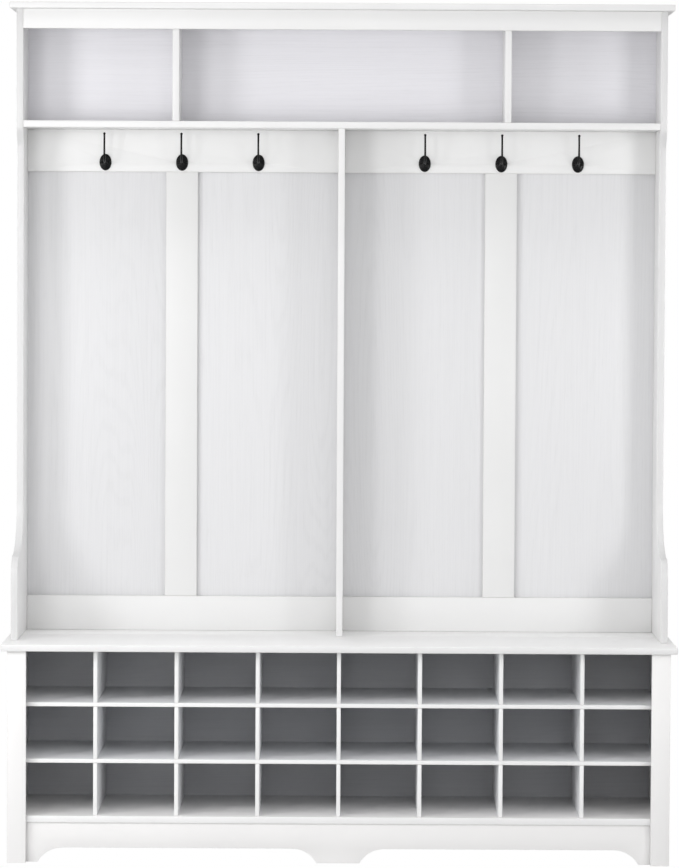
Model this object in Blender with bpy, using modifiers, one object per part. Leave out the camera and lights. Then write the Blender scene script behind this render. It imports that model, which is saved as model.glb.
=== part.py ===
"""Hall tree with hooks: a shoe bench of 24 cubbies under a hutch with hooks and a top shelf.

Metres, +Z up.  The front faces -Y, +X is to the right of someone facing it, and the origin is
on the floor under the middle of the bench top.  Every board is an object of its own, and
touching boards keep a gap of GAP between them.
"""
import math

import bmesh
import bpy
from mathutils import Matrix

# Overall size
WIDTH = 1.524
DEPTH = 0.400
HEIGHT = 1.951
BODY_WIDTH = 1.494

# Board stock
BOARD = 0.015
BASE_SIDE_BOARD = 0.018
GRID_BOARD = 0.009
BATTEN_BOARD = 0.012
PANEL = 0.003
GAP = 0.0003
GROOVE_DEPTH = 0.006
PANEL_INSET = 0.006
EDGE_ROUND = 0.002
ROUND_STEPS = 2
WELD_DISTANCE = 1e-6
SMOOTH_ANGLE = 40

# Shoe bench
BENCH_TOP = 0.495
FLOOR_PANEL_TOP = 0.105
STILE_WIDTH = 0.042
STILE_SETBACK = 0.015
APRON_SETBACK = 0.020
GRID_SETBACK = 0.012
GRID_REAR_GAP = 0.006
COLUMNS = 8
ROWS = 3
APRON_RISE = 0.0325
FOOT_FLAT = 0.026
FOOT_CURVE = 0.056
CENTER_FOOT = 0.097
PLINTH_INSET = 0.030

# Hutch
CROWN_OVERHANG = 0.015
TOP_DEPTH = 0.162
MID_DEPTH = 0.135
BASE_DEPTH = 0.292
SHELF_TOP = 1.680
FASCIA_HEIGHT = 0.045
SHELF_DIVIDER_X = 0.3815
HOOK_RAIL_HEIGHT = 0.098
BOTTOM_RAIL_HEIGHT = 0.080
BATTEN_X = 0.372
BATTEN_WIDTH = 0.074
STEP_BACK = 0.045
SWEEP_TOP = 0.800
SWEEP_CORNER = 0.688
SHOULDER_RADIUS = 0.045
SHOULDER_LEAN = 70

# Hooks
HOOK_SPACING = 0.1785
HOOK_LIFT = 0.0217
PLATE_WIDTH = 0.028
PLATE_HEIGHT = 0.0385
PLATE_THICKNESS = 0.0055
PLATE_RIM = 0.0015
BOSS_WIDTH = 0.013
BOSS_HEIGHT = 0.025
BOSS_REACH = 0.0085
BOSS_RIM = 0.0055
BOSS_LIFT = 0.0005
HOOK_REACH = 0.046
HOOK_TIP = 0.065
ROD_RADIUS = 0.0021
ROD_BEND = 0.024
ROD_BEND_START = 275
ROD_BEND_END = 180
ROD_START = 0.006
ROD_RISE = 0.001
ROD_BOW = 0.001
ROD_BOW_HEIGHT = 0.0455
TIP_SWELL = 1.35
SCREW_SPREAD = 0.0096
SCREW_LENGTH = 0.015
SCREW_SHANK = 0.0015
SCREW_HEAD = 0.0025
SCREW_HEAD_HEIGHT = 0.0016
SCREW_CROWN = 0.00175
SCREW_CROWN_EDGE = 0.00064
SCREW_POINT = 0.003
SCREW_SEAT = 0.0030
PLATE_HOLE = 0.0019

# Strip that joins the base's two back panels
JOINER_FLANGE = 0.001
JOINER_WIDTH = 0.012
JOINER_WEB = 0.001

# Dowels between the base and the hutch
DOWEL_RADIUS = 0.004
DOWEL_DEPTH = 0.012
DOWEL_Y = 0.060

# Places worked out from the sizes above
FRONT = -DEPTH / 2
BACK = DEPTH / 2
BODY_HALF = BODY_WIDTH / 2
INNER_HALF = BODY_HALF - BOARD
BASE_INNER_HALF = BODY_HALF - BASE_SIDE_BOARD
BENCH_UNDER = BENCH_TOP - BOARD
FLOOR_PANEL_UNDER = FLOOR_PANEL_TOP - BOARD
STILE_FRONT = FRONT + STILE_SETBACK
SIDE_FRONT = STILE_FRONT + BOARD
PANEL_BACK = BACK - PANEL_INSET
PANEL_FRONT = PANEL_BACK - PANEL
CROWN_UNDER = HEIGHT - BOARD
SHELF_UNDER = SHELF_TOP - BOARD
SHELF_FRONT = BACK - TOP_DEPTH + EDGE_ROUND
RAIL_FRONT = PANEL_FRONT - GAP - BOARD
HOOK_RAIL_UNDER = SHELF_UNDER - GAP - HOOK_RAIL_HEIGHT
BOTTOM_RAIL_TOP = BENCH_TOP + GAP + BOTTOM_RAIL_HEIGHT
HOOK_HEIGHT = HOOK_RAIL_UNDER + HOOK_LIFT
OPENING_WIDTH = (2 * BASE_INNER_HALF - (COLUMNS - 1) * GRID_BOARD) / COLUMNS
COLUMN_PITCH = OPENING_WIDTH + GRID_BOARD
OPENING_HEIGHT = (BENCH_UNDER - FLOOR_PANEL_TOP - (ROWS - 1) * GRID_BOARD) / ROWS
GRID_FRONT = SIDE_FRONT + GRID_SETBACK
GRID_BACK = PANEL_FRONT - GRID_REAR_GAP
GRID_MIDDLE = (GRID_FRONT + GRID_BACK) / 2

OBJECT_NAME = "hall_tree_with_hooks"


def clear_scene():
    for obj in list(bpy.data.objects):
        bpy.data.objects.remove(obj, do_unlink=True)


def new_collection(name):
    collection = bpy.data.collections.new(name)
    bpy.context.scene.collection.children.link(collection)
    return collection


def make_material(name, colour, roughness, metallic):
    material = bpy.data.materials.new(name)
    material.use_nodes = True
    shader = material.node_tree.nodes["Principled BSDF"]
    shader.inputs["Base Color"].default_value = (*colour, 1.0)
    shader.inputs["Roughness"].default_value = roughness
    shader.inputs["Metallic"].default_value = metallic
    return material


class Shop:
    """The collections and finishes that the parts are made with."""

    def __init__(self):
        self.parts = new_collection(OBJECT_NAME)
        self.cutters = new_collection("cutters")
        self.foil = make_material("white_foil_board", (0.86, 0.86, 0.85), 0.42, 0.0)
        self.grid = make_material("white_grid_board", (0.83, 0.84, 0.85), 0.45, 0.0)
        self.panel = make_material("white_grained_panel", (0.80, 0.82, 0.86), 0.50, 0.0)
        self.plastic = make_material("white_plastic", (0.84, 0.85, 0.85), 0.40, 0.0)
        self.black = make_material("black_enamel", (0.012, 0.012, 0.013), 0.25, 0.0)
        self.timber = make_material("beech_dowel", (0.62, 0.45, 0.28), 0.60, 0.0)

    def add(self, name, mesh, material, location=(0, 0, 0)):
        obj = bpy.data.objects.new(name, mesh)
        obj.location = location
        if not mesh.materials:
            mesh.materials.append(material)
        self.parts.objects.link(obj)
        return obj

    def add_cutter(self, name, mesh, location):
        obj = bpy.data.objects.new(name, mesh)
        obj.location = location
        obj.hide_render = True
        obj.display_type = "WIRE"
        self.cutters.objects.link(obj)
        return obj

    def cut(self, obj, cutter, operation="DIFFERENCE"):
        modifier = obj.modifiers.new(cutter.name, "BOOLEAN")
        modifier.operation = operation
        modifier.solver = "EXACT"
        modifier.object = cutter


def mesh_from(bm, name):
    mesh = bpy.data.meshes.new(name)
    bm.to_mesh(mesh)
    bm.free()
    return mesh


def box_mesh(name, size):
    bm = bmesh.new()
    bmesh.ops.create_cube(bm, size=1.0)
    bmesh.ops.scale(bm, vec=size, verts=bm.verts)
    return mesh_from(bm, name)


def middle(span):
    return (span[0] + span[1]) / 2


def box_between(x, y, z):
    size = (x[1] - x[0], y[1] - y[0], z[1] - z[0])
    return size, (middle(x), middle(y), middle(z))


def board(shop, name, x, y, z, material=None):
    """A rectangular board that fills the three spans."""
    size, center = box_between(x, y, z)
    return shop.add(name, box_mesh(name, size), material or shop.foil, center)


def box_cutter(shop, name, x, y, z):
    size, center = box_between(x, y, z)
    return shop.add_cutter(name, box_mesh(name, size), center)


def round_edges(obj, width):
    """Eases every sharp edge of a board."""
    bevel = obj.modifiers.new("eased_edges", "BEVEL")
    bevel.width = width
    bevel.segments = ROUND_STEPS
    bevel.limit_method = "ANGLE"


def outline_mesh(name, points, thickness):
    """A closed flat outline in the curve's XY plane, thickened along its Z."""
    curve = bpy.data.curves.new(name, "CURVE")
    curve.dimensions = "2D"
    curve.fill_mode = "BOTH"
    curve.extrude = thickness / 2
    spline = curve.splines.new("POLY")
    spline.points.add(len(points) - 1)
    for point, (u, v) in zip(spline.points, points):
        point.co = (u, v, 0, 1)
    spline.use_cyclic_u = True
    return mesh_from_curve(name, curve)


def mesh_from_curve(name, curve):
    """The welded mesh of a curve, which is removed."""
    carrier = bpy.data.objects.new(name + "_curve", curve)
    bpy.context.scene.collection.objects.link(carrier)
    bpy.context.view_layer.update()
    evaluated = carrier.evaluated_get(bpy.context.evaluated_depsgraph_get())
    mesh = bpy.data.meshes.new_from_object(evaluated)
    mesh.transform(carrier.matrix_world)
    mesh.name = name
    bpy.data.objects.remove(carrier)
    bpy.data.curves.remove(curve)
    bm = bmesh.new()
    bm.from_mesh(mesh)
    bmesh.ops.remove_doubles(bm, verts=bm.verts, dist=WELD_DISTANCE)
    bmesh.ops.recalc_face_normals(bm, faces=bm.faces)
    bm.to_mesh(mesh)
    bm.free()
    mesh.materials.clear()
    return mesh


def arc(center, radius, start, end, steps):
    """Points on a circle from one angle to another, both in degrees."""
    points = []
    for step in range(steps + 1):
        angle = math.radians(start + (end - start) * step / steps)
        points.append((center[0] + radius * math.cos(angle), center[1] + radius * math.sin(angle)))
    return points


# Local axes for outlines: the first lies an outline's (u, v) on (Y, Z), the second on (X, Z).
SIDE_VIEW = Matrix(((0, 0, 1), (1, 0, 0), (0, 1, 0))).to_4x4()
FRONT_VIEW = Matrix(((1, 0, 0), (0, 0, -1), (0, 1, 0))).to_4x4()


# ---------------------------------------------------------------- shoe bench

def base_sides(shop):
    groove_y = (PANEL_FRONT - GAP, PANEL_BACK + GAP)
    for side, name in ((-1, "base_side_left"), (1, "base_side_right")):
        x = sorted((side * BASE_INNER_HALF, side * BODY_HALF))
        panel = board(shop, name, x, (SIDE_FRONT + GAP, BACK), (0, BENCH_UNDER - GAP))
        groove_x = sorted((side * (BASE_INNER_HALF - GAP), side * (BASE_INNER_HALF + GROOVE_DEPTH)))
        groove = box_cutter(shop, name + "_groove", groove_x, groove_y, (-GAP, BENCH_UNDER))
        shop.cut(panel, groove)


def stiles(shop):
    for side, name in ((-1, "stile_left"), (1, "stile_right")):
        x = sorted((side * (BODY_HALF - STILE_WIDTH), side * BODY_HALF))
        board(shop, name, x, (STILE_FRONT, SIDE_FRONT), (0, BENCH_UNDER - GAP))


def bench_top(shop):
    half = WIDTH / 2
    top = board(shop, "bench_top", (-half, half), (FRONT, BACK), (BENCH_UNDER, BENCH_TOP))
    round_edges(top, EDGE_ROUND)
    groove_half = BASE_INNER_HALF + GROOVE_DEPTH
    groove = box_cutter(
        shop,
        "bench_top_groove",
        (-groove_half, groove_half),
        (PANEL_FRONT - GAP, PANEL_BACK + GAP),
        (BENCH_UNDER - GAP, BENCH_UNDER + GROOVE_DEPTH),
    )
    shop.cut(top, groove)


def base_bottom(shop):
    half = BASE_INNER_HALF - GAP
    y = (SIDE_FRONT + GAP, PANEL_FRONT - GAP)
    board(shop, "base_bottom", (-half, half), y, (FLOOR_PANEL_UNDER, FLOOR_PANEL_TOP))


def foot_arc(corner, direction):
    """The curve from a foot's lower corner up to the apron's straight edge."""
    half_angle = math.atan2(APRON_RISE, FOOT_CURVE)
    radius = FOOT_CURVE / math.sin(2 * half_angle)
    center = (corner + direction * FOOT_CURVE, APRON_RISE - radius)
    side = 90 + direction * math.degrees(2 * half_angle)
    return arc(center, radius, side, 90, 12)


def apron(shop):
    """The front plinth board, cut out between its three feet."""
    half = BASE_INNER_HALF - GAP
    end_corner = BODY_HALF - STILE_WIDTH - FOOT_FLAT
    right = [(half, FLOOR_PANEL_UNDER - GAP), (half, 0)]
    right += foot_arc(end_corner, -1)
    right += reversed(foot_arc(CENTER_FOOT / 2, 1))
    left = [(-x, z) for x, z in reversed(right)]
    mesh = outline_mesh("apron", right + left, BOARD)
    mesh.transform(FRONT_VIEW)
    y = STILE_FRONT + APRON_SETBACK + BOARD / 2
    shop.add("apron", mesh, shop.foil, (0, y, 0))


def rear_plinth(shop):
    half = BASE_INNER_HALF - GAP
    back = BACK - PLINTH_INSET
    z = (0, FLOOR_PANEL_UNDER - GAP)
    board(shop, "rear_plinth", (-half, half), (back - BOARD, back), z)


def center_support(shop):
    front = STILE_FRONT + APRON_SETBACK + BOARD + GAP
    back = BACK - PLINTH_INSET - BOARD - GAP
    z = (0, FLOOR_PANEL_UNDER - GAP)
    board(shop, "center_support", (-BOARD / 2, BOARD / 2), (front, back), z)


def divider_x(index):
    return (index - COLUMNS / 2) * COLUMN_PITCH


def shelf_z(index):
    low = FLOOR_PANEL_TOP + index * OPENING_HEIGHT + (index - 1) * GRID_BOARD
    return low, low + GRID_BOARD


def cubby_dividers(shop):
    """Upright grid boards, slotted from the front where the shelves cross them."""
    slots = []
    for index in range(1, ROWS):
        low, high = shelf_z(index)
        z = (low - GAP, high + GAP)
        x = (-GRID_BOARD, GRID_BOARD)
        slot = box_cutter(shop, f"divider_slot_{index}", x, (GRID_FRONT - GAP, GRID_MIDDLE), z)
        slots.append(slot)
    z = (FLOOR_PANEL_TOP + GAP, BENCH_UNDER - GAP)
    half = GRID_BOARD / 2
    first = board(shop, "cubby_divider_1", (-half, half), (GRID_FRONT, GRID_BACK), z, shop.grid)
    for slot in slots:
        shop.cut(first, slot)
    slotted = applied_mesh(first, "cubby_divider")
    location = first.location.copy()
    bpy.data.objects.remove(first)
    for index in range(1, COLUMNS):
        place = (divider_x(index), location.y, location.z)
        shop.add(f"cubby_divider_{index}", slotted, shop.grid, place)


def applied_mesh(obj, name):
    """The mesh of an object with its modifiers applied."""
    bpy.context.view_layer.update()
    evaluated = obj.evaluated_get(bpy.context.evaluated_depsgraph_get())
    mesh = bpy.data.meshes.new_from_object(evaluated)
    mesh.name = name
    return mesh


def cubby_shelves(shop):
    """Full-width grid shelves, slotted from the back over the dividers."""
    half = BASE_INNER_HALF - GAP
    for index, name in ((1, "cubby_shelf_lower"), (2, "cubby_shelf_upper")):
        z = shelf_z(index)
        shelf = board(shop, name, (-half, half), (GRID_FRONT, GRID_BACK), z, shop.grid)
        for column in range(1, COLUMNS):
            x = divider_x(column)
            reach = GRID_BOARD / 2 + GAP
            cutter = box_cutter(
                shop,
                f"{name}_slot_{column}",
                (x - reach, x + reach),
                (GRID_MIDDLE - GAP, GRID_BACK + GAP),
                (z[0] - GAP, z[1] + GAP),
            )
            shop.cut(shelf, cutter)


def base_backs(shop):
    """Two thin back panels in the sides' grooves, joined by an H-shaped strip."""
    inner = JOINER_WEB / 2 + GAP
    outer = BASE_INNER_HALF + GROOVE_DEPTH - GAP
    y = (PANEL_FRONT, PANEL_BACK)
    z = (FLOOR_PANEL_UNDER, BENCH_UNDER + GROOVE_DEPTH - GAP)
    for side, name in ((-1, "base_back_left"), (1, "base_back_right")):
        board(shop, name, sorted((side * inner, side * outer)), y, z, shop.panel)


def back_joiner(shop):
    web = JOINER_WEB / 2
    wing = JOINER_WIDTH / 2
    face = PANEL / 2 + GAP
    edge = face + JOINER_FLANGE
    quarter = [(wing, edge), (wing, face), (web, face)]
    right = quarter + [(x, -y) for x, y in reversed(quarter)]
    left = [(-x, -y) for x, y in right]
    height = BENCH_UNDER - FLOOR_PANEL_TOP - 2 * GAP
    mesh = outline_mesh("back_joiner", right + left, height)
    place = (0, middle((PANEL_FRONT, PANEL_BACK)), middle((FLOOR_PANEL_TOP, BENCH_UNDER)))
    shop.add("back_joiner", mesh, shop.plastic, place)


# --------------------------------------------------------------------- hutch

def smooth_step(start, end, steps):
    """Points of an S curve that leaves and arrives along the second axis."""
    points = []
    for step in range(steps + 1):
        t = step / steps
        blend = t * t * (3 - 2 * t)
        points.append((start[0] + (end[0] - start[0]) * blend, start[1] + (end[1] - start[1]) * t))
    return points


def front_sweep(mid_front, base_front):
    """The curve that carries a side's front edge forward to its deeper foot, top first."""
    shoulder = (base_front + SHOULDER_RADIUS, SWEEP_CORNER - SHOULDER_RADIUS)
    corner = arc(shoulder, SHOULDER_RADIUS, 180 - SHOULDER_LEAN, 180, 8)
    width = mid_front - corner[0][0]
    height = SWEEP_TOP - corner[0][1]
    points = []
    steps = 12
    for step in range(steps):
        angle = math.radians(90 * step / steps)
        forward = (1 - math.cos(angle)) * width
        points.append((mid_front - forward, SWEEP_TOP - math.sin(angle) * height))
    return points + corner


def side_outline():
    """A hutch side seen from the side, as (Y, Z) points from the lower back corner."""
    low = BENCH_TOP + GAP
    high = CROWN_UNDER - GAP
    top_front = BACK - TOP_DEPTH
    mid_front = BACK - MID_DEPTH
    base_front = BACK - BASE_DEPTH
    points = [(BACK, low), (BACK, high), (top_front, high)]
    points += smooth_step((top_front, SHELF_UNDER), (mid_front, SHELF_UNDER - STEP_BACK), 8)
    points += front_sweep(mid_front, base_front)
    points.append((base_front, low))
    return points


def hutch_sides(shop):
    groove_y = (PANEL_FRONT - GAP, PANEL_BACK + GAP)
    for side, name in ((-1, "hutch_side_left"), (1, "hutch_side_right")):
        mesh = outline_mesh(name, side_outline(), BOARD)
        mesh.transform(SIDE_VIEW)
        panel = shop.add(name, mesh, shop.foil, (side * (INNER_HALF + BOARD / 2), 0, 0))
        groove_x = sorted((side * (INNER_HALF - GAP), side * (INNER_HALF + GROOVE_DEPTH)))
        groove = box_cutter(shop, name + "_groove", groove_x, groove_y, (BENCH_TOP, CROWN_UNDER))
        shop.cut(panel, groove)


def hutch_divider(shop):
    """The straight upright between the bays, flush with the shelf's front edge."""
    y = (SHELF_FRONT, PANEL_FRONT - GAP)
    z = (BENCH_TOP + GAP, SHELF_UNDER - GAP)
    board(shop, "hutch_divider", (-BOARD / 2, BOARD / 2), y, z)


def crown_top(shop):
    half = WIDTH / 2
    front = BACK - TOP_DEPTH - CROWN_OVERHANG
    crown = board(shop, "crown_top", (-half, half), (front, BACK), (CROWN_UNDER, HEIGHT))
    round_edges(crown, EDGE_ROUND)
    groove_half = INNER_HALF + GROOVE_DEPTH
    groove = box_cutter(
        shop,
        "crown_top_groove",
        (-groove_half, groove_half),
        (PANEL_FRONT - GAP, PANEL_BACK + GAP),
        (CROWN_UNDER - GAP, CROWN_UNDER + GROOVE_DEPTH),
    )
    shop.cut(crown, groove)


def fascia(shop):
    half = INNER_HALF - GAP
    front = BACK - TOP_DEPTH
    high = CROWN_UNDER - GAP
    board(shop, "fascia", (-half, half), (front, front + BOARD), (high - FASCIA_HEIGHT, high))


def hutch_shelf(shop):
    half = INNER_HALF - GAP
    y = (SHELF_FRONT, PANEL_FRONT - GAP)
    board(shop, "hutch_shelf", (-half, half), y, (SHELF_UNDER, SHELF_TOP))


def shelf_dividers(shop):
    """Short uprights under the crown, notched at the top front around the fascia."""
    notch_back = BACK - TOP_DEPTH + BOARD + GAP
    notch_low = CROWN_UNDER - FASCIA_HEIGHT - 2 * GAP
    high = CROWN_UNDER - GAP
    outline = [
        (PANEL_FRONT - GAP, SHELF_TOP + GAP),
        (PANEL_FRONT - GAP, high),
        (notch_back, high),
        (notch_back, notch_low),
        (SHELF_FRONT, notch_low),
        (SHELF_FRONT, SHELF_TOP + GAP),
    ]
    mesh = outline_mesh("shelf_divider", outline, BOARD)
    mesh.transform(SIDE_VIEW)
    shop.add("shelf_divider_left", mesh, shop.foil, (-SHELF_DIVIDER_X, 0, 0))
    shop.add("shelf_divider_right", mesh, shop.foil, (SHELF_DIVIDER_X, 0, 0))


def bay_span(side):
    inner = BOARD / 2 + GAP
    return sorted((side * inner, side * (INNER_HALF - GAP)))


def hook_x(index):
    """Hooks 1 to 3 hang in the left bay and 4 to 6 in the right one."""
    side = -1 if index <= 3 else 1
    return side * BATTEN_X + ((index - 1) % 3 - 1) * HOOK_SPACING


def round_pin_mesh(name, radius, low, high, sides=12):
    """A cylinder along Z between two heights."""
    bm = bmesh.new()
    length = high - low
    bmesh.ops.create_cone(
        bm, cap_ends=True, segments=sides, radius1=radius, radius2=radius, depth=length
    )
    bmesh.ops.translate(bm, verts=bm.verts, vec=(0, 0, middle((low, high))))
    return mesh_from(bm, name)


# Turns +Z to -Y, so that a shape made upwards faces the front.
FACE_FRONT = Matrix.Rotation(math.radians(90), 4, "X")


def level_pin_mesh(name, radius, behind, ahead):
    """A cylinder along Y, from a distance behind y = 0 to a distance ahead of it."""
    mesh = round_pin_mesh(name, radius, -behind, ahead)
    mesh.transform(FACE_FRONT)
    return mesh


def hook_rails(shop):
    """The rails behind the hooks, drilled for the screws."""
    hole = level_pin_mesh("pilot_hole", SCREW_SHANK + GAP, SCREW_LENGTH, GAP)
    for side, name, first in ((-1, "hook_rail_left", 1), (1, "hook_rail_right", 4)):
        z = (HOOK_RAIL_UNDER, HOOK_RAIL_UNDER + HOOK_RAIL_HEIGHT)
        rail = board(shop, name, bay_span(side), (RAIL_FRONT, RAIL_FRONT + BOARD), z)
        for index in range(first, first + 3):
            for step, hand in ((-1, "a"), (1, "b")):
                place = (hook_x(index) + step * SCREW_SPREAD, RAIL_FRONT, HOOK_HEIGHT)
                shop.cut(rail, shop.add_cutter(f"pilot_hole_{index}{hand}", hole, place))


def bottom_rails(shop):
    z = (BENCH_TOP + GAP, BOTTOM_RAIL_TOP)
    for side, name in ((-1, "bottom_rail_left"), (1, "bottom_rail_right")):
        board(shop, name, bay_span(side), (RAIL_FRONT, RAIL_FRONT + BOARD), z)


def battens(shop):
    """Flat uprights that cover the seams between the back panels."""
    back = PANEL_FRONT - GAP
    z = (BOTTOM_RAIL_TOP + GAP, HOOK_RAIL_UNDER - GAP)
    for side, name in ((-1, "batten_left"), (1, "batten_right")):
        center = side * BATTEN_X
        x = (center - BATTEN_WIDTH / 2, center + BATTEN_WIDTH / 2)
        board(shop, name, x, (back - BATTEN_BOARD, back), z)


def back_panels(shop):
    """Four tall panels below the shelf and one above, meeting behind the shelf."""
    outer = INNER_HALF + GROOVE_DEPTH - GAP
    seams = (-outer, -BATTEN_X, 0, BATTEN_X, outer)
    seam_z = middle((SHELF_UNDER, SHELF_TOP))
    y = (PANEL_FRONT, PANEL_BACK)
    for index in range(4):
        x = (seams[index] + GAP / 2, seams[index + 1] - GAP / 2)
        z = (BENCH_TOP + GAP, seam_z - GAP / 2)
        board(shop, f"back_panel_{index + 1}", x, y, z, shop.panel)
    z = (seam_z + GAP / 2, CROWN_UNDER + GROOVE_DEPTH - GAP)
    board(shop, "upper_back_panel", (-outer, outer), y, z, shop.panel)


# --------------------------------------------------------------------- hooks

def turned_mesh(name, profile, steps):
    """A profile of (radius, height) points, top first, turned about Z."""
    bm = bmesh.new()
    verts = [bm.verts.new((radius, 0, height)) for radius, height in profile]
    edges = [bm.edges.new(pair) for pair in zip(verts, verts[1:])]
    bmesh.ops.spin(
        bm,
        geom=verts + edges,
        axis=(0, 0, 1),
        cent=(0, 0, 0),
        steps=steps,
        angle=math.tau,
        use_merge=True,
    )
    bmesh.ops.remove_doubles(bm, verts=bm.verts, dist=WELD_DISTANCE)
    bmesh.ops.recalc_face_normals(bm, faces=bm.faces)
    return mesh_from(bm, name)


def dome_mesh(name, width, height, reach, rim):
    """A turned dome squashed to an oval, flat at y = 0 and bulging to the front."""
    curve_steps = 4
    profile = [(0, reach)]
    for step in range(1, curve_steps + 1):
        angle = math.radians(90 * step / curve_steps)
        profile.append((math.sin(angle) / 2, rim + (reach - rim) * math.cos(angle)))
    profile += [(0.5, 0), (0, 0)]
    mesh = turned_mesh(name, profile, 20)
    mesh.transform(Matrix.Diagonal((width, height, 1, 1)))
    mesh.transform(FACE_FRONT)
    return mesh


def hook_arm_points():
    """The arm's centre line: out of the boss, down a little, then swept forward and up."""
    root = [(0, ROD_RISE), (-ROD_START, ROD_RISE)]
    center = (-(HOOK_REACH - ROD_BEND), ROD_BEND)
    sweep = arc(center, ROD_BEND, ROD_BEND_START, ROD_BEND_END, 7)
    tip = [(-HOOK_REACH - ROD_BOW, ROD_BOW_HEIGHT), (-HOOK_REACH + ROD_BOW, HOOK_TIP)]
    return root + sweep + tip


def hook_arm_mesh():
    curve = bpy.data.curves.new("hook_arm", "CURVE")
    curve.dimensions = "3D"
    curve.bevel_depth = ROD_RADIUS
    curve.bevel_resolution = 2
    curve.use_fill_caps = True
    points = hook_arm_points()
    spline = curve.splines.new("POLY")
    spline.points.add(len(points) - 1)
    for point, (y, z) in zip(spline.points, points):
        point.co = (0, y, z, 1)
    return mesh_from_curve("hook_arm", curve)


def tip_mesh():
    bm = bmesh.new()
    bmesh.ops.create_uvsphere(bm, u_segments=10, v_segments=6, radius=ROD_RADIUS * TIP_SWELL)
    bmesh.ops.translate(bm, verts=bm.verts, vec=(0, -HOOK_REACH + ROD_BOW, HOOK_TIP))
    return mesh_from(bm, "hook_tip")


def hook_mesh(shop):
    """An oval plate with a boss, an arm and a rounded tip, joined into one casting."""
    plate = dome_mesh("hook_plate", PLATE_WIDTH, PLATE_HEIGHT, PLATE_THICKNESS, PLATE_RIM)
    body = shop.add("hook_body", plate, shop.black)
    boss = dome_mesh("hook_boss", BOSS_WIDTH, BOSS_HEIGHT, BOSS_REACH, BOSS_RIM)
    boss.transform(Matrix.Translation((0, -BOSS_LIFT, 0)))
    extras = [("boss", boss), ("arm", hook_arm_mesh()), ("tip", tip_mesh())]
    cutters = [shop.add_cutter("hook_" + name, mesh, (0, 0, 0)) for name, mesh in extras]
    for cutter in cutters:
        shop.cut(body, cutter, "UNION")
    hole = level_pin_mesh("plate_hole", PLATE_HOLE, GAP, 2 * PLATE_THICKNESS)
    pocket = level_pin_mesh("head_pocket", SCREW_HEAD + GAP, -SCREW_SEAT, 2 * PLATE_THICKNESS)
    for step in (-1, 1):
        for mesh in (hole, pocket):
            shop.cut(body, shop.add_cutter(mesh.name, mesh, (step * SCREW_SPREAD, 0, 0)))
    mesh = applied_mesh(body, "hook")
    bpy.data.objects.remove(body)
    mesh.shade_smooth()
    mesh.set_sharp_from_angle(angle=math.radians(SMOOTH_ANGLE))
    return mesh


def hooks(shop):
    mesh = hook_mesh(shop)
    for index in range(1, 7):
        place = (hook_x(index), RAIL_FRONT - GAP, HOOK_HEIGHT)
        shop.add(f"hook_{index}", mesh, shop.black, place)


def screw_mesh(seat):
    """A pan-head wood screw along Y, its head's underside a distance seat ahead of y = 0."""
    profile = [
        (0, SCREW_HEAD_HEIGHT),
        (SCREW_CROWN, SCREW_HEAD_HEIGHT),
        (SCREW_HEAD, SCREW_CROWN_EDGE),
        (SCREW_HEAD, 0),
        (SCREW_SHANK, 0),
        (SCREW_SHANK, SCREW_POINT - SCREW_LENGTH),
        (0, -SCREW_LENGTH),
    ]
    mesh = turned_mesh("hook_screw", profile, 12)
    mesh.transform(Matrix.Translation((0, 0, seat)))
    mesh.transform(FACE_FRONT)
    mesh.shade_smooth()
    mesh.set_sharp_from_angle(angle=math.radians(SMOOTH_ANGLE))
    return mesh


def hook_screws(shop):
    mesh = screw_mesh(SCREW_SEAT + GAP)
    for index in range(1, 7):
        for step, hand in ((-1, "a"), (1, "b")):
            place = (hook_x(index) + step * SCREW_SPREAD, RAIL_FRONT - GAP, HOOK_HEIGHT)
            shop.add(f"hook_screw_{index}{hand}", mesh, shop.black, place)


# -------------------------------------------------------------------- dowels

def dowels(shop):
    """Dowels that pin each hutch side through the bench top to the base side under it."""
    low = BENCH_UNDER - DOWEL_DEPTH
    high = BENCH_TOP + DOWEL_DEPTH
    pin = round_pin_mesh("dowel", DOWEL_RADIUS, low + GAP, high - GAP)
    bore = round_pin_mesh("dowel_bore", DOWEL_RADIUS + GAP, low, high)
    for side, hand in ((-1, "left"), (1, "right")):
        place = (side * (INNER_HALF + BOARD / 2), DOWEL_Y, 0)
        shop.add(f"dowel_{hand}", pin, shop.timber, place)
        cutter = shop.add_cutter(f"dowel_bore_{hand}", bore, place)
        for name in (f"base_side_{hand}", "bench_top", f"hutch_side_{hand}"):
            shop.cut(shop.parts.objects[name], cutter)


def build():
    clear_scene()
    shop = Shop()
    base_sides(shop)
    stiles(shop)
    bench_top(shop)
    base_bottom(shop)
    apron(shop)
    rear_plinth(shop)
    center_support(shop)
    cubby_dividers(shop)
    cubby_shelves(shop)
    base_backs(shop)
    back_joiner(shop)
    hutch_sides(shop)
    hutch_divider(shop)
    crown_top(shop)
    fascia(shop)
    hutch_shelf(shop)
    shelf_dividers(shop)
    hook_rails(shop)
    bottom_rails(shop)
    battens(shop)
    back_panels(shop)
    hooks(shop)
    hook_screws(shop)
    dowels(shop)


build()
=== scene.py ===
"""Looks of the hall tree: finished boards, cast hooks, screws, materials, light and camera."""
import math

import bmesh
import bpy
from mathutils import Matrix, Vector

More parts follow.
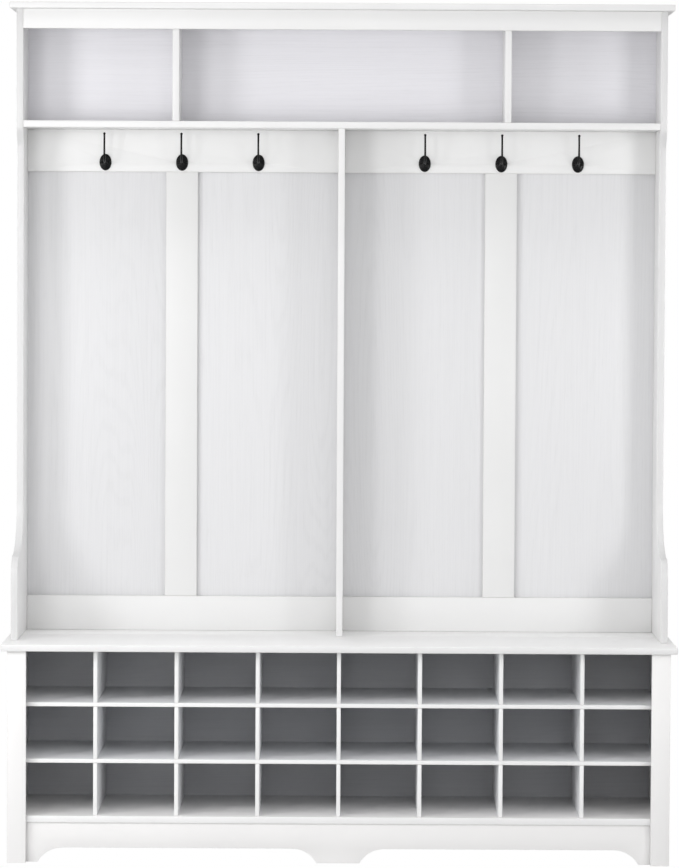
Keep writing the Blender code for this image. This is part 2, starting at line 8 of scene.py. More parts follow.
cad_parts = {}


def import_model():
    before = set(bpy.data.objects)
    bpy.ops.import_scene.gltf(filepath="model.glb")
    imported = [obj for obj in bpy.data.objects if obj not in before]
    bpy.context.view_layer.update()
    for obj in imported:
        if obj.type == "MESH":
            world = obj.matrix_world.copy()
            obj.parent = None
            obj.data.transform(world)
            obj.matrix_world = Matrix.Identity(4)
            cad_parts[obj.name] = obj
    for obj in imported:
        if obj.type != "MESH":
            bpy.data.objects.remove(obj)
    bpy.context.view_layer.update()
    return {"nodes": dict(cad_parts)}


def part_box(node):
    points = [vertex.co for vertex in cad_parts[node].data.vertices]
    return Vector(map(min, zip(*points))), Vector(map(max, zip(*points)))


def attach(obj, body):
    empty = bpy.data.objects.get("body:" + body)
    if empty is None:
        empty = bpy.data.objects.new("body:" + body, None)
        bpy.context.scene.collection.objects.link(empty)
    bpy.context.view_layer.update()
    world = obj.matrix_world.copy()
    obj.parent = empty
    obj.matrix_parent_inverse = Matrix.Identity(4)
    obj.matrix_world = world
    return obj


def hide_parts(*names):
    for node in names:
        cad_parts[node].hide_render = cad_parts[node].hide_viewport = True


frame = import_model()
BODY = "root"
MM = 0.001

# Boards: a face no further than EDGE_REACH from the board's box counts as on its outside
EDGE_EASE = 0.4 * MM
PANEL_EASE = 0.15 * MM
EDGE_REACH = 2.3 * MM
FULL_THICKNESS = 0.9
COPLANAR = math.radians(0.2)
SMOOTH_ANGLE = math.radians(32)
SAME_PLACE = 0.02 * MM

# The finishes of a board's faces, in the order of its materials
LAMINATE, BAND, CORE, REAR = range(4)

# Tones that wear brings to a finish, and how far it reaches in from a foil's edge
SPECK_TONE = (0.70, 0.69, 0.67)
WORN_TONE = (0.66, 0.64, 0.60)
RUBBED_TONE = (0.68, 0.66, 0.63)
CHIPPED_TONE = (0.04, 0.039, 0.037)
WEAR_FADE = (-0.9 * MM, 0.1 * MM)
WEAR_RAGGED = 2.2 * MM

# Hooks: PLATE and BOSS are (width, height). Bulges, rims and the reach are measured forward from
# the oval plate's back, and ARM_TOP up from its middle. The bend's angles are in degrees.
PLATE = (28.0 * MM, 38.5 * MM)
PLATE_BULGE = 5.5 * MM
PLATE_RIM = 1.6 * MM
BOSS = (13.0 * MM, 25.0 * MM)
BOSS_BULGE = 9.2 * MM
BOSS_RIM = 6.4 * MM
ARM_REACH = 46.0 * MM
ARM_TOP = 65.0 * MM
ARM_RADIUS = 2.3 * MM
BEND_RADIUS = 24.0 * MM
BEND_START = 275
BEND_SWEEP = 95
BEND_STEPS = 12
BEAD_RADIUS = ARM_RADIUS * 1.35
HOOK_VOXEL = 0.42 * MM
CAP_WELD = 0.001 * MM

# Screws, with z up from under the head
SCREW_SPREAD = 9.6 * MM
SCREW_SEAT = 3.3 * MM
HEAD_RADIUS = 2.5 * MM
HEAD_HEIGHT = 1.6 * MM
HEAD_RISE = 0.35 * HEAD_HEIGHT
SHANK_RADIUS = 1.5 * MM
SHANK_LENGTH = 15.0 * MM
THREAD_PITCH = 1.1 * MM
THREAD_CORE = 0.72 * SHANK_RADIUS
THREAD_START = 1.5 * MM
POINT_LENGTH = 4 * MM
RECESS_DEPTH = 1.1 * MM
RECESS_WIDTH = 0.75 * MM
RECESS_REACH = 1.35 * MM
RECESS_TAPER = (0.35, 0.5)
POCKET_RADIUS = HEAD_RADIUS + 0.4 * MM
POCKET_FLOOR = 3.0 * MM
POCKET_MOUTH = 9 * MM
TURN_STEPS = 32
AXIS_WELD = 0.0001 * MM

# Camera, with its angles in radians
CAMERA_PLACE = Vector((0.0078, -8.993, 1.348))
CAMERA_LENS = 162.81
CAMERA_SENSOR = 36.0
CAMERA_CLIP = (0.1, 100.0)
CAMERA_PITCH = 0.04262
CAMERA_YAW = 0.00105
CAMERA_ROLL = 0.00521

# Studio
FLOOR_RADIUS = 40.0
FLOOR_BOUNCE = (0.7, 0.7, 0.7, 1.0)
SKY_STRENGTH = 0.645
PURE_WHITE = (1.0, 1.0, 1.0, 1.0)

FACE_FRONT = Matrix.Rotation(math.radians(90), 4, "X")


# ------------------------------------------------------------------ shader graph helper

class Graph:
    """Adds and links the nodes of one material."""

    def __init__(self, name):
        self.material = bpy.data.materials.new(name)
        self.material.use_nodes = True
        self.tree = self.material.node_tree
        self.shader = self.tree.nodes["Principled BSDF"]

    def node(self, kind, **settings):
        made = self.tree.nodes.new(kind)
        for key, value in settings.items():
            setattr(made, key, value)
        return made

    def feed(self, socket, value):
        if isinstance(value, bpy.types.NodeSocket):
            self.tree.links.new(value, socket)
        else:
            socket.default_value = value

    def math(self, operation, *values):
        made = self.node("ShaderNodeMath", operation=operation)
        for socket, value in zip(made.inputs, values):
            self.feed(socket, value)
        return made.outputs[0]

    def vector(self, operation, *values):
        made = self.node("ShaderNodeVectorMath", operation=operation)
        for socket, value in zip(made.inputs, values):
            self.feed(socket, value)
        return made.outputs[0]

    def place(self):
        return self.node("ShaderNodeTexCoord").outputs["Object"]

    def own(self, name):
        """A vector property of the object that wears the material."""
        made = self.node("ShaderNodeAttribute", attribute_type="OBJECT", attribute_name=name)
        return made.outputs["Vector"]

    def noise(self, vector, scale, detail=2.0, roughness=0.5):
        made = self.node("ShaderNodeTexNoise")
        self.feed(made.inputs["Vector"], vector)
        self.feed(made.inputs["Scale"], scale)
        self.feed(made.inputs["Detail"], detail)
        self.feed(made.inputs["Roughness"], roughness)
        return made.outputs["Fac"]

    def ramp(self, value, low, high, to_low=0.0, to_high=1.0):
        """Maps a value smoothly from one range to another, and holds it at the ends."""
        made = self.node("ShaderNodeMapRange", interpolation_type="SMOOTHSTEP")
        for key, number in (
            ("Value", value),
            ("From Min", low),
            ("From Max", high),
            ("To Min", to_low),
            ("To Max", to_high),
        ):
            self.feed(made.inputs[key], number)
        return made.outputs["Result"]

    def mix(self, factor, first, second):
        made = self.node("ShaderNodeMix", data_type="RGBA")
        self.feed(made.inputs["Factor"], factor)
        self.feed(made.inputs["A"], first if isinstance(first, bpy.types.NodeSocket) else (*first, 1))
        self.feed(made.inputs["B"], second if isinstance(second, bpy.types.NodeSocket) else (*second, 1))
        return made.outputs["Result"]

    def bump(self, height, distance, strength=1.0):
        made = self.node("ShaderNodeBump")
        self.feed(made.inputs["Strength"], strength)
        self.feed(made.inputs["Distance"], distance)
        self.feed(made.inputs["Height"], height)
        return made.outputs["Normal"]

    def finish(self, colour, roughness, normal=None, **constants):
        self.feed(self.shader.inputs["Base Color"], colour)
        self.feed(self.shader.inputs["Roughness"], roughness)
        if normal is not None:
            self.feed(self.shader.inputs["Normal"], normal)
        for key, value in constants.items():
            self.shader.inputs[key.replace("_", " ")].default_value = value
        return self.material


def edge_distance(graph):
    """The distance from a point on a board's surface to the nearest edge of the board's box."""
    place = graph.place()
    to_low = graph.vector("SUBTRACT", place, graph.own("board_low"))
    to_high = graph.vector("SUBTRACT", graph.own("board_high"), place)
    nearest = graph.node("ShaderNodeSeparateXYZ")
    graph.feed(nearest.inputs[0], graph.vector("MINIMUM", to_low, to_high))
    x, y, z = nearest.outputs
    least = graph.math("MINIMUM", graph.math("MINIMUM", x, y), z)
    most = graph.math("MAXIMUM", graph.math("MAXIMUM", x, y), z)
    total = graph.math("ADD", graph.math("ADD", x, y), z)
    return graph.math("SUBTRACT", graph.math("SUBTRACT", total, least), most)


def stretched(graph, across, along, grain):
    """Object coordinates scaled so that a pattern runs long along the grain's axis."""
    scale = {"X": (along, across, across), "Y": (across, along, across), "Z": (across, across, along)}
    return graph.vector("MULTIPLY", graph.place(), scale[grain])


# --------------------------------------------------------------------------- materials

def toned(tone, share):
    """A tone with each channel multiplied by a share."""
    return tuple(channel * share for channel in tone)


def smooth_foil(name, tone, shade, roughness):
    """White foil or melamine: nearly even, with faint cloudiness, fine pores and rubbed edges."""
    graph = Graph(name)
    place = graph.place()
    cloud = graph.ramp(graph.noise(place, 5.0, 3.0), 0.35, 0.65)
    colour = graph.mix(cloud, shade, tone)
    speck = graph.ramp(graph.noise(place, 850.0, 2.0, 0.6), 0.62, 0.74, 0.0, 0.10)
    colour = graph.mix(speck, colour, SPECK_TONE)
    ragged = graph.math("MULTIPLY", graph.noise(place, 160.0, 4.0), WEAR_RAGGED)
    distance = graph.math("SUBTRACT", edge_distance(graph), ragged)
    worn = graph.ramp(distance, *WEAR_FADE, 0.30, 0.0)
    colour = graph.mix(worn, colour, WORN_TONE)
    uneven = graph.noise(place, 40.0, 3.0)
    rough = graph.math("ADD", roughness - 0.05, graph.math("MULTIPLY", uneven, 0.10))
    rough = graph.math("ADD", rough, graph.math("MULTIPLY", worn, 0.4))
    peel = graph.noise(place, 620.0, 3.0, 0.55)
    ripple = graph.math("MULTIPLY", graph.noise(place, 30.0, 2.0), 2.0)
    height = graph.math("ADD", peel, ripple)
    normal = graph.bump(height, 0.03 * MM, 0.8)
    return graph.finish(colour, rough, normal, Specular_IOR_Level=0.42)


def edge_band(name, tone):
    """The plastic band on a board's edges: sleeker than the faces, and rubbed in spots."""
    graph = Graph(name)
    place = graph.place()
    cloud = graph.ramp(graph.noise(place, 9.0, 2.0), 0.3, 0.7, 0.0, 1.0)
    colour = graph.mix(cloud, tone, toned(tone, 0.975))
    rub = graph.ramp(graph.noise(place, 210.0, 4.0, 0.6), 0.60, 0.76, 0.0, 0.16)
    colour = graph.mix(rub, colour, RUBBED_TONE)
    rough = graph.math("ADD", 0.30, graph.math("MULTIPLY", graph.noise(place, 70.0, 3.0), 0.12))
    height = graph.noise(place, 380.0, 2.0)
    return graph.finish(colour, rough, graph.bump(height, 0.02 * MM, 0.7), Specular_IOR_Level=0.45)


def panel(name, grain, tone):
    """White paper over thin board, embossed with open wood grain that runs along one axis."""
    graph = Graph(name)
    flow = graph.noise(stretched(graph, 5.0, 0.40, grain), 1.0, 1.5, 0.45)
    fine_flow = graph.noise(stretched(graph, 42.0, 3.0, grain), 1.0, 2.0)
    rings = graph.math("ADD", graph.math("MULTIPLY", flow, 52.0), graph.math("MULTIPLY", fine_flow, 1.2))
    wave = graph.math("SINE", graph.math("MULTIPLY", rings, math.tau))
    late = graph.ramp(wave, 0.0, 0.95)
    pores = graph.noise(stretched(graph, 1150.0, 26.0, grain), 1.0, 2.0, 0.6)
    pore = graph.ramp(pores, 0.53, 0.66)
    streak = graph.noise(stretched(graph, 230.0, 3.0, grain), 1.0, 3.0, 0.55)
    patch = graph.ramp(graph.noise(stretched(graph, 7.0, 0.9, grain), 1.0, 2.0), 0.38, 0.62, 0.25, 1.0)
    sunk = graph.math("MULTIPLY", pore, graph.math("ADD", 0.35, graph.math("MULTIPLY", late, 0.65)))
    lines = graph.math("MULTIPLY", graph.math("MULTIPLY", late, patch), 0.14)
    tint = graph.math("ADD", graph.math("MULTIPLY", sunk, 0.35), lines)
    tint = graph.math("ADD", tint, graph.ramp(streak, 0.35, 0.70, 0.0, 0.25))
    colour = graph.mix(tint, tone, toned(tone, 0.905))
    rough = graph.math("ADD", 0.44, graph.math("MULTIPLY", sunk, 0.22))
    depth = graph.math("ADD", graph.math("MULTIPLY", sunk, 0.8), graph.math("MULTIPLY", streak, 0.6))
    depth = graph.math("ADD", depth, lines)
    normal = graph.bump(graph.math("MULTIPLY", depth, -1.0), 0.05 * MM, 0.9)
    return graph.finish(colour, rough, normal, Specular_IOR_Level=0.35)


def raw_board(name, light, dark, scale):
    """Bare board core: pressed chips or fibres of mixed brown."""
    graph = Graph(name)
    place = graph.place()
    cells = graph.node("ShaderNodeTexVoronoi")
    graph.feed(cells.inputs["Vector"], place)
    graph.feed(cells.inputs["Scale"], scale)
    chip = graph.node("ShaderNodeSeparateColor")
    graph.feed(chip.inputs[0], cells.outputs["Color"])
    fibre = graph.noise(place, scale * 2.4, 4.0, 0.65)
    chips = graph.math("MULTIPLY", chip.outputs[0], 0.6)
    blend = graph.math("ADD", chips, graph.math("MULTIPLY", fibre, 0.5))
    colour = graph.mix(graph.ramp(blend, 0.15, 0.95), dark, light)
    rough = graph.math("ADD", 0.72, graph.math("MULTIPLY", fibre, 0.2))
    return graph.finish(colour, rough, graph.bump(blend, 0.25 * MM, 0.7))


def black_enamel(name, roughness, tone):
    """Black enamel, a little uneven, chipped in specks and dulled by handling."""
    graph = Graph(name)
    place = graph.place()
    cloud = graph.noise(place, 120.0, 3.0)
    colour = graph.mix(graph.ramp(cloud, 0.3, 0.7), tone, toned(tone, 1.5))
    chip = graph.ramp(graph.noise(place, 900.0, 3.0, 0.7), 0.74, 0.80, 0.0, 0.25)
    colour = graph.mix(chip, colour, CHIPPED_TONE)
    smear = graph.noise(place, 260.0, 4.0, 0.6)
    rough = graph.ramp(smear, 0.3, 0.75, roughness, roughness + 0.08)
    height = graph.math("ADD", graph.noise(place, 300.0, 2.0), graph.math("MULTIPLY", chip, -1.0))
    normal = graph.bump(height, 0.02 * MM, 0.8)
    return graph.finish(colour, rough, normal, Specular_IOR_Level=0.18)


def moulded_plastic(name, tone):
    """Plain white plastic with a fine moulded grain."""
    graph = Graph(name)
    place = graph.place()
    colour = graph.mix(graph.noise(place, 60.0, 3.0), tone, toned(tone, 0.94))
    rough = graph.math("ADD", 0.38, graph.math("MULTIPLY", graph.noise(place, 300.0, 2.0), 0.14))
    return graph.finish(colour, rough, graph.bump(graph.noise(place, 900.0, 2.0), 0.03 * MM, 0.8))


def beech(name, light, dark):
    """Beech with its grain along the dowel."""
    graph = Graph(name)
    lines = graph.noise(stretched(graph, 1400.0, 60.0, "Z"), 1.0, 3.0, 0.6)
    colour = graph.mix(graph.ramp(lines, 0.35, 0.7), light, dark)
    rough = graph.math("ADD", 0.5, graph.math("MULTIPLY", lines, 0.25))
    return graph.finish(colour, rough, graph.bump(lines, 0.06 * MM, 0.8))


class Finishes:
    """Every material of the object, made once. The whites differ from board to board as painted light
    and shade: each board's tone is lighter or darker to stand in for the light it gets in place, and the
    real boards may all be one white.
    """

    def __init__(self):
        # Painted light and shade: these are lit and shaded copies of one white, and the seat's is
        # lighter as painted light from above.
        hutch = (0.850, 0.848, 0.846)
        base = (0.930, 0.922, 0.918)
        inner = (0.850, 0.850, 0.848)
        trim = (0.800, 0.800, 0.798)
        seat = (0.940, 0.938, 0.936)
        seat_shade = (0.925, 0.923, 0.920)
        grid = (0.900, 0.907, 0.923)
        self.foil = smooth_foil("white_foil", hutch, toned(hutch, 0.985), 0.40)
        self.base_foil = smooth_foil("white_foil_base", base, toned(base, 0.985), 0.40)
        self.inner_foil = smooth_foil("white_foil_inner", inner, toned(inner, 0.985), 0.42)
        self.trim_foil = smooth_foil("white_foil_trim", trim, toned(trim, 0.985), 0.42)
        self.seat_foil = smooth_foil("white_foil_seat", seat, seat_shade, 0.40)
        self.grid = smooth_foil("white_melamine", grid, toned(grid, 0.98), 0.42)
        # Painted light and shade in the edge bands too: the side band is darker as painted shade.
        self.band = edge_band("white_edge_band", (0.825, 0.823, 0.825))
        self.side_band = edge_band("white_edge_band_side", (0.73, 0.728, 0.73))
        self.base_band = edge_band("white_edge_band_base", (0.92, 0.918, 0.92))
        self.grid_band = edge_band("white_edge_band_grid", (0.94, 0.94, 0.94))
        # Painted light and shade in the panels: the base panels behind the cubbies are darkest, as
        # painted shade.
        self.tall_panel = panel("grained_panel_upright", "Z", (0.765, 0.765, 0.777))
        self.upper_panel = panel("grained_panel_level", "X", (0.865, 0.858, 0.894))
        self.base_panel = panel("grained_panel_base", "X", (0.72, 0.729, 0.757))
        self.chip = raw_board("particle_board", (0.58, 0.45, 0.30), (0.33, 0.23, 0.14), 420.0)
        self.fibre = raw_board("hardboard", (0.50, 0.36, 0.23), (0.38, 0.26, 0.16), 1500.0)
        self.enamel = black_enamel("black_enamel", 0.20, (0.003, 0.003, 0.0035))
        self.screw = black_enamel("black_screw", 0.32, (0.005, 0.005, 0.005))
        self.plastic = moulded_plastic("white_plastic", (0.80, 0.81, 0.81))
        self.dowel = beech("beech", (0.62, 0.44, 0.27), (0.45, 0.29, 0.16))


FINISH = Finishes()


# ------------------------------------------------------------------------------ pieces

def add_piece(name, mesh, slot, *nodes):
    """Links a mesh that already lies in the row frame and lets it stand for its CAD nodes."""
    piece = bpy.data.objects.new(name, mesh)
    bpy.context.scene.collection.objects.link(piece)
    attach(piece, BODY)
    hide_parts(*nodes)
    return piece


def smooth_by_angle(mesh):
    mesh.shade_smooth()
    mesh.set_sharp_from_angle(angle=SMOOTH_ANGLE)


def board_kind(face, low, high, thin, outlined):
    """The finish of a face by where it lies: on a broad side, on an edge or in a cut.

    A straight board's edges lie on its box. An outlined board's edges may not, but they run through
    its whole thickness, and its cuts don't.
    """
    center = face.calc_center_median()
    near = [min(center[i] - low[i], high[i] - center[i]) < EDGE_REACH for i in range(3)]
    if abs(face.normal[thin]) > 0.5:
        return LAMINATE if near[thin] else CORE
    if outlined:
        depths = [vert.co[thin] for vert in face.verts]
        through = max(depths) - min(depths) > FULL_THICKNESS * (high[thin] - low[thin])
        return BAND if through else CORE
    return BAND if any(near[i] for i in range(3) if i != thin) else CORE


def finished_board(node, thin, materials, slot, ease=EDGE_EASE, outlined=False):
    """A CAD board with its triangles merged, its edges eased and its faces sorted by finish."""
    low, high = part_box(node)
    bm = bmesh.new()
    bm.from_mesh(frame["nodes"][node].data)
    bmesh.ops.remove_doubles(bm, verts=bm.verts, dist=SAME_PLACE)
    bmesh.ops.dissolve_limit(bm, angle_limit=COPLANAR, verts=bm.verts, edges=bm.edges)
    bm.normal_update()
    for face in bm.faces:
        face.material_index = board_kind(face, low, high, thin, outlined)
    sharp = [edge for edge in bm.edges if edge.is_manifold and edge.calc_face_angle() > SMOOTH_ANGLE]
    bmesh.ops.bevel(
        bm, geom=sharp, offset=ease, segments=2, profile=0.5, affect="EDGES", clamp_overlap=True
    )
    mesh = bpy.data.meshes.new(node + "_finished")
    bm.to_mesh(mesh)
    bm.free()
    for material in materials:
        mesh.materials.append(material)
    smooth_by_angle(mesh)
    piece = add_piece(node + "_board", mesh, slot, node)
    piece["board_low"] = list(low)
    piece["board_high"] = list(high)
    return piece


def foil_boards():
    """The thick white boards, with the axis each is thin along."""
    X, Y, Z = range(3)
    hutch = (FINISH.foil, FINISH.band, FINISH.chip)
    base = (FINISH.base_foil, FINISH.base_band, FINISH.chip)
    inner = (FINISH.inner_foil, FINISH.inner_foil, FINISH.chip)
    trim = (FINISH.trim_foil, FINISH.trim_foil, FINISH.chip)
    side = (FINISH.foil, FINISH.side_band, FINISH.chip)
    seat = (FINISH.seat_foil, FINISH.band, FINISH.chip)
    for node, thin, finish, outlined in (
        ("base_side_left", X, base, False),
        ("base_side_right", X, base, False),
        ("stile_left", Y, base, False),
        ("stile_right", Y, base, False),
        ("bench_top", Z, seat, False),
        ("base_bottom", Z, base, False),
        ("apron", Y, base, True),
        ("rear_plinth", Y, base, False),
        ("center_support", X, base, False),
        ("hutch_side_left", X, side, True),
        ("hutch_side_right", X, side, True),
        ("hutch_divider", X, hutch, False),
        ("crown_top", Z, hutch, False),
        ("fascia", Y, hutch, False),
        ("hutch_shelf", Z, hutch, False),
        ("shelf_divider_left", X, hutch, True),
        ("shelf_divider_right", X, hutch, True),
        ("hook_rail_left", Y, inner, False),
        ("hook_rail_right", Y, inner, False),
        ("bottom_rail_left", Y, trim, False),
        ("bottom_rail_right", Y, trim, False),
        ("batten_left", Y, trim, False),
        ("batten_right", Y, trim, False),
    ):
        finished_board(node, thin, finish, "white_foil_board", outlined=outlined)


def grid_boards():
    """The dividers and shelves of the egg crate in the base."""
    materials = (FINISH.grid, FINISH.grid_band, FINISH.chip)
    for node in sorted(frame["nodes"]):
        if node.startswith("cubby_divider_"):
            finished_board(node, 0, materials, "white_grid_board")
        elif node.startswith("cubby_shelf_"):
            finished_board(node, 2, materials, "white_grid_board")


def back_panels():
    """Grained on the front, bare hardboard on the back and the edges."""
    grained = {f"back_panel_{index}": FINISH.tall_panel for index in range(1, 5)}
    grained["upper_back_panel"] = FINISH.upper_panel
    grained["base_back_left"] = FINISH.base_panel
    grained["base_back_right"] = FINISH.base_panel
    for node, front in grained.items():
        materials = (front, FINISH.fibre, FINISH.fibre, FINISH.fibre)
        piece = finished_board(node, 1, materials, "white_grained_panel", PANEL_EASE)
        for face in piece.data.polygons:
            if face.normal.y > 0.5:
                face.material_index = REAR


def plain_nodes():
    """CAD nodes whose shape is already right get their material."""
    for node, material in (
        ("back_joiner", FINISH.plastic),
        ("dowel_left", FINISH.dowel),
        ("dowel_right", FINISH.dowel),
    ):
        part = frame["nodes"][node]
        for slot in part.material_slots:
            slot.link = "OBJECT"
            slot.material = material


# ------------------------------------------------------------------------------- hooks

def turned(profile, steps):
    """A bmesh made by turning (radius, height) points about Z, the first and last on the axis."""
    bm = bmesh.new()
    verts = [bm.verts.new((radius, 0, height)) for radius, height in profile]
    edges = [bm.edges.new(pair) for pair in zip(verts, verts[1:])]
    bmesh.ops.spin(
        bm,
        geom=verts + edges,
        axis=(0, 0, 1),
        cent=(0, 0, 0),
        steps=steps,
        angle=math.tau,
        use_merge=True,
    )
    bmesh.ops.remove_doubles(bm, verts=bm.verts, dist=AXIS_WELD)
    bmesh.ops.recalc_face_normals(bm, faces=bm.faces)
    return bm


def dome(size, bulge, rim, steps=64, rings=14):
    """An oval dome over a short upright rim, flat behind, facing the front."""
    profile = [(0, bulge)]
    for ring in range(1, rings + 1):
        angle = math.radians(90 * ring / rings)
        profile.append((math.sin(angle) / 2, rim + (bulge - rim) * math.cos(angle)))
    profile += [(0.5, 0), (0, 0)]
    bm = turned(profile, steps)
    bm.transform(Matrix.Diagonal((size[0], size[1], 1, 1)))
    bm.transform(FACE_FRONT)
    return bm


def arm():
    """The rod that leaves the boss, bends forward and up, and tapers towards its tip.

    Each stop of the route is a place (y, z) and a share of the rod's radius.
    """
    route = [((0, 1.0 * MM), 1.5), ((-6 * MM, 0.8 * MM), 1.35)]
    center = Vector((-(ARM_REACH - BEND_RADIUS), BEND_RADIUS))
    for step in range(BEND_STEPS + 1):
        angle = math.radians(BEND_START - BEND_SWEEP * step / BEND_STEPS)
        place = center + BEND_RADIUS * Vector((math.cos(angle), math.sin(angle)))
        route.append((tuple(place), 1.25 - 0.22 * step / BEND_STEPS))
    route.append(((-ARM_REACH - 1.0 * MM, ARM_TOP * 0.7), 0.98))
    route.append(((-ARM_REACH + 0.2 * MM, ARM_TOP * 0.88), 0.98))
    route.append(((-ARM_REACH + 1.0 * MM, ARM_TOP - 2.0 * MM), 1.05))
    curve = bpy.data.curves.new("arm", "CURVE")
    curve.dimensions = "3D"
    curve.bevel_depth = ARM_RADIUS
    curve.bevel_resolution = 6
    curve.use_fill_caps = True
    spline = curve.splines.new("NURBS")
    spline.points.add(len(route) - 1)
    for point, ((y, z), radius) in zip(spline.points, route):
        point.co = (0, y, z, 1)
        point.radius = radius
    spline.order_u = 4
    spline.use_endpoint_u = True
    spline.resolution_u = 8
    carrier = bpy.data.objects.new("arm", curve)
    bpy.context.scene.collection.objects.link(carrier)
    bm = bmesh.new()
    bm.from_mesh(evaluated_mesh(carrier))
    bpy.data.objects.remove(carrier)
    bmesh.ops.remove_doubles(bm, verts=bm.verts, dist=CAP_WELD)
    bmesh.ops.recalc_face_normals(bm, faces=bm.faces)
    return bm


def bead():
    """The round tip of the arm."""
    bm = bmesh.new()
    bmesh.ops.create_uvsphere(bm, u_segments=24, v_segments=16, radius=BEAD_RADIUS)
    bmesh.ops.translate(bm, verts=bm.verts, vec=(0, -ARM_REACH + 1.0 * MM, ARM_TOP))
    return bm


def evaluated_mesh(obj):
    """A mesh of the object with its modifiers or bevel applied."""
    bpy.context.view_layer.update()
    shown = obj.evaluated_get(bpy.context.evaluated_depsgraph_get())
    return bpy.data.meshes.new_from_object(shown)


def loose_object(name, bm):
    mesh = bpy.data.meshes.new(name)
    bm.to_mesh(mesh)
    bm.free()
    obj = bpy.data.objects.new(name, mesh)
    bpy.context.scene.collection.objects.link(obj)
    return obj


def join_or_cut(body, tool, operation):
    """Adds an exact Boolean, UNION or DIFFERENCE, to a body."""
    modifier = body.modifiers.new(operation, "BOOLEAN")
    modifier.operation = operation
    modifier.solver = "EXACT"
    modifier.object = tool


def hook_mesh():
    """Plate, boss, arm and bead in one casting, with a pocket for each screw and small fillets."""
    body = loose_object("casting", dome(PLATE, PLATE_BULGE, PLATE_RIM))
    tools = [loose_object("tool", bm) for bm in (dome(BOSS, BOSS_BULGE, BOSS_RIM), arm(), bead())]
    for tool in tools:
        join_or_cut(body, tool, "UNION")
    for side in (-1, 1):
        mouth = [(0, POCKET_MOUTH), (POCKET_RADIUS, POCKET_MOUTH)]
        floor = [(POCKET_RADIUS, POCKET_FLOOR), (0, POCKET_FLOOR)]
        pocket = turned(mouth + floor, TURN_STEPS)
        pocket.transform(FACE_FRONT)
        pocket.transform(Matrix.Translation((side * SCREW_SPREAD, 0, 0)))
        tools.append(loose_object("pocket", pocket))
        join_or_cut(body, tools[-1], "DIFFERENCE")
    remesh = body.modifiers.new("skin", "REMESH")
    remesh.mode = "VOXEL"
    remesh.voxel_size = HOOK_VOXEL
    smooth = body.modifiers.new("fillets", "SMOOTH")
    smooth.factor = 0.5
    smooth.iterations = 4
    mesh = evaluated_mesh(body)
    for obj in (body, *tools):
        bpy.data.objects.remove(obj)
    mesh.materials.clear()
    mesh.materials.append(FINISH.enamel)
    mesh.shade_smooth()
    return mesh


def cross_recess():
    """A tapered cross, centred on the head's top, that cuts the driver recess."""
    bm = bmesh.new()
    for turn in (0, 90):
        made = bmesh.ops.create_cube(bm, size=1.0)["verts"]
        bmesh.ops.scale(bm, vec=(2 * RECESS_REACH, RECESS_WIDTH, 2 * RECESS_DEPTH), verts=made)
        for vert in made:
            if vert.co.z < 0:
                vert.co.x *= RECESS_TAPER[0]
                vert.co.y *= RECESS_TAPER[1]
        spin = Matrix.Rotation(math.radians(turn), 3, "Z")
        bmesh.ops.rotate(bm, verts=made, cent=(0, 0, 0), matrix=spin)
    bm.transform(Matrix.Translation((0, 0, HEAD_HEIGHT)))
    return bm


def screw_mesh():
    """A pan-head screw with a cross recess, a thread and a point, its head up along Z."""
    profile = [(0, HEAD_HEIGHT)]
    for step in range(1, 9):
        angle = math.radians(90 * step / 8)
        height = HEAD_RISE + (HEAD_HEIGHT - HEAD_RISE) * math.cos(angle)
        profile.append((HEAD_RADIUS * math.sin(angle), height))
    profile += [(HEAD_RADIUS, 0), (SHANK_RADIUS, -0.2 * MM)]
    for turn in range(int((SHANK_LENGTH - POINT_LENGTH) / THREAD_PITCH)):
        top = -THREAD_START - turn * THREAD_PITCH
        crest = (SHANK_RADIUS, top - 0.45 * THREAD_PITCH)
        profile += [(THREAD_CORE, top), crest, (THREAD_CORE, top - 0.75 * THREAD_PITCH)]
    profile.append((0, -SHANK_LENGTH))
    body = loose_object("screw", turned(profile, TURN_STEPS))
    tool = loose_object("recess", cross_recess())
    join_or_cut(body, tool, "DIFFERENCE")
    body.modifiers["DIFFERENCE"].use_self = True
    mesh = evaluated_mesh(body)
    for obj in (body, tool):
        bpy.data.objects.remove(obj)
    mesh.transform(Matrix.Translation((0, 0, SCREW_SEAT)))
    mesh.materials.clear()
    mesh.materials.append(FINISH.screw)
    smooth_by_angle(mesh)
    return mesh


def placed_copy(mesh, name, matrix):
    """A copy of a mesh in its own place in the row frame."""
    copy = mesh.copy()
    copy.name = name
    copy.transform(matrix)
    return copy


def hooks_and_screws():
    """Six castings, each held by two screws that stop at turns of their own."""
    casting = hook_mesh()
    fastener = screw_mesh()
    for index in range(1, 7):
        low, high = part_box(f"hook_{index}")
        place = Vector(((low.x + high.x) / 2, high.y, low.z + PLATE[1] / 2))
        name = f"hook_{index}_casting"
        mesh = placed_copy(casting, name, Matrix.Translation(place))
        add_piece(name, mesh, "black_enamel", f"hook_{index}")
        for side, hand, turn in ((-1, "a", 17 * index), (1, "b", 31 * index + 40)):
            name = f"hook_{index}_screw_{hand}"
            where = Matrix.Translation(place + Vector((side * SCREW_SPREAD, 0, 0)))
            spun = where @ FACE_FRONT @ Matrix.Rotation(math.radians(turn), 4, "Z")
            mesh = placed_copy(fastener, name, spun)
            add_piece(name, mesh, "black_screw", f"hook_screw_{index}{hand}")


# ----------------------------------------------------------------------- light and view

def soft_light(name, place, target, size, power, spread):
    """A rectangular softbox that faces a point."""
    data = bpy.data.lights.new(name, "AREA")
    data.shape = "RECTANGLE"
    data.size, data.size_y = size
    data.energy = power
    data.spread = math.radians(spread)
    lamp = bpy.data.objects.new(name, data)
    lamp.location = place
    lamp.visible_camera = False
    lamp.rotation_euler = (Vector(target) - Vector(place)).to_track_quat("-Z", "Y").to_euler()
    bpy.context.scene.collection.objects.link(lamp)


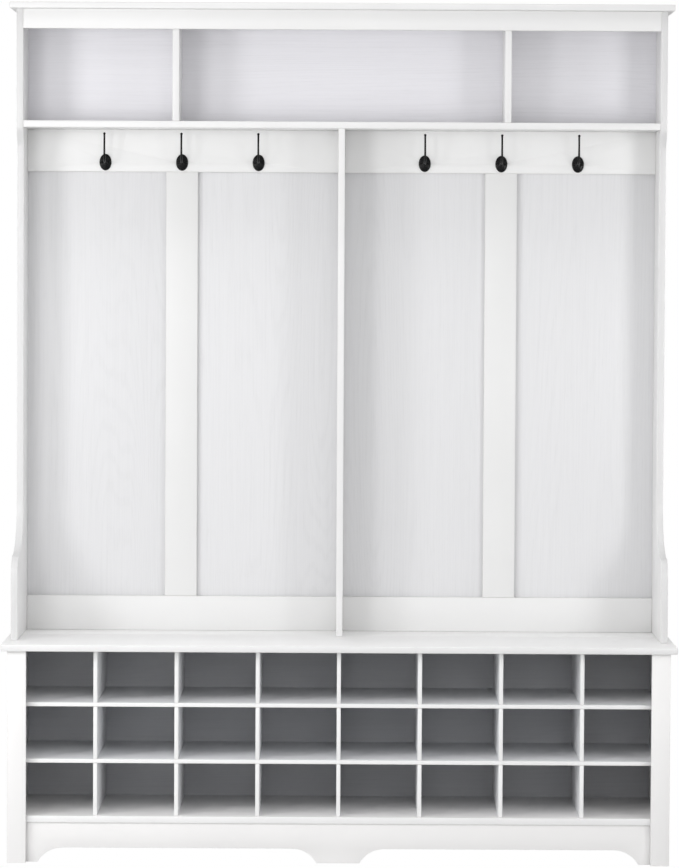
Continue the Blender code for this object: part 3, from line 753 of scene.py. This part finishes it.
def lights():
    """Softboxes: name, place, target, size, power and spread in degrees."""
    for name, place, target, size, power, spread in (
        ("key_inner", (-1.2, -2.3, 1.5), (-0.5, 0.1, 1.1), (0.5, 0.9), 10.2, 180),
        ("key_outer", (-2.1, -1.85, 1.5), (-0.5, 0.1, 1.1), (0.55, 0.9), 14.0, 180),
        ("right", (1.72, -1.95, 1.2), (0.95, 0.2, 1.2), (0.5, 0.8), 3.0, 90),
        ("front", (0.3, -4.5, 1.6), (0.1, 0.1, 1.1), (2.0, 1.0), 14.5, 180),
        ("low_left", (-1.5, -2.5, 0.35), (-0.75, 0.0, 0.2), (1.2, 0.5), 3.8, 180),
        ("low_right", (1.6, -2.0, 0.35), (0.6, 0.0, 0.2), (1.0, 0.5), 0.6, 180),
        ("top", (0.0, -0.7, 3.4), (0.0, 0.0, 0.5), (2.6, 0.8), 8.0, 180),
    ):
        soft_light(name, place, target, size, power, spread)


def studio():
    """A wide pale floor under the object."""
    bm = bmesh.new()
    bmesh.ops.create_circle(bm, cap_ends=True, segments=96, radius=FLOOR_RADIUS)
    mesh = bpy.data.meshes.new("studio_floor")
    bm.to_mesh(mesh)
    bm.free()
    mesh.materials.append(floor_material())
    floor = bpy.data.objects.new("studio_floor", mesh)
    bpy.context.scene.collection.objects.link(floor)


def pale_when_seen(tree, lighting, pale, output):
    """Shows a plain white to the camera and leaves the lighting to every other ray."""
    ray = tree.nodes.new("ShaderNodeLightPath")
    blend = tree.nodes.new("ShaderNodeMixShader")
    tree.links.new(ray.outputs["Is Camera Ray"], blend.inputs["Fac"])
    tree.links.new(lighting.outputs[0], blend.inputs[1])
    tree.links.new(pale.outputs[0], blend.inputs[2])
    tree.links.new(blend.outputs[0], tree.nodes[output].inputs["Surface"])


def floor_material():
    """A pale matt floor that lights the object from below and looks plain white."""
    graph = Graph("studio_floor")
    graph.finish(FLOOR_BOUNCE, 0.9, Specular_IOR_Level=0.0)
    glow = graph.node("ShaderNodeEmission")
    glow.inputs["Color"].default_value = PURE_WHITE
    pale_when_seen(graph.tree, graph.shader, glow, "Material Output")
    return graph.material


def world():
    """An even soft sky that looks plain white."""
    made = bpy.data.worlds.new("studio")
    made.use_nodes = True
    tree = made.node_tree
    sky = tree.nodes["Background"]
    sky.inputs["Color"].default_value = PURE_WHITE
    sky.inputs["Strength"].default_value = SKY_STRENGTH
    pale = tree.nodes.new("ShaderNodeBackground")
    pale.inputs["Color"].default_value = PURE_WHITE
    pale_when_seen(tree, sky, pale, "World Output")
    bpy.context.scene.world = made


def camera():
    """The view from in front, a little above the middle of the object."""
    data = bpy.data.cameras.new("camera")
    data.lens = CAMERA_LENS
    data.sensor_width = CAMERA_SENSOR
    data.clip_start, data.clip_end = CAMERA_CLIP
    eye = bpy.data.objects.new("camera", data)
    turn = Matrix.Rotation(CAMERA_YAW, 4, "Z")
    tilt = Matrix.Rotation(math.pi / 2 - CAMERA_PITCH, 4, "X")
    roll = Matrix.Rotation(CAMERA_ROLL, 4, "Z")
    eye.matrix_world = Matrix.Translation(CAMERA_PLACE) @ turn @ tilt @ roll
    bpy.context.scene.collection.objects.link(eye)
    bpy.context.scene.camera = eye


foil_boards()
grid_boards()
back_panels()
plain_nodes()
hooks_and_screws()
studio()
world()
lights()
camera()
bpy.context.scene.view_settings.view_transform = "Standard"
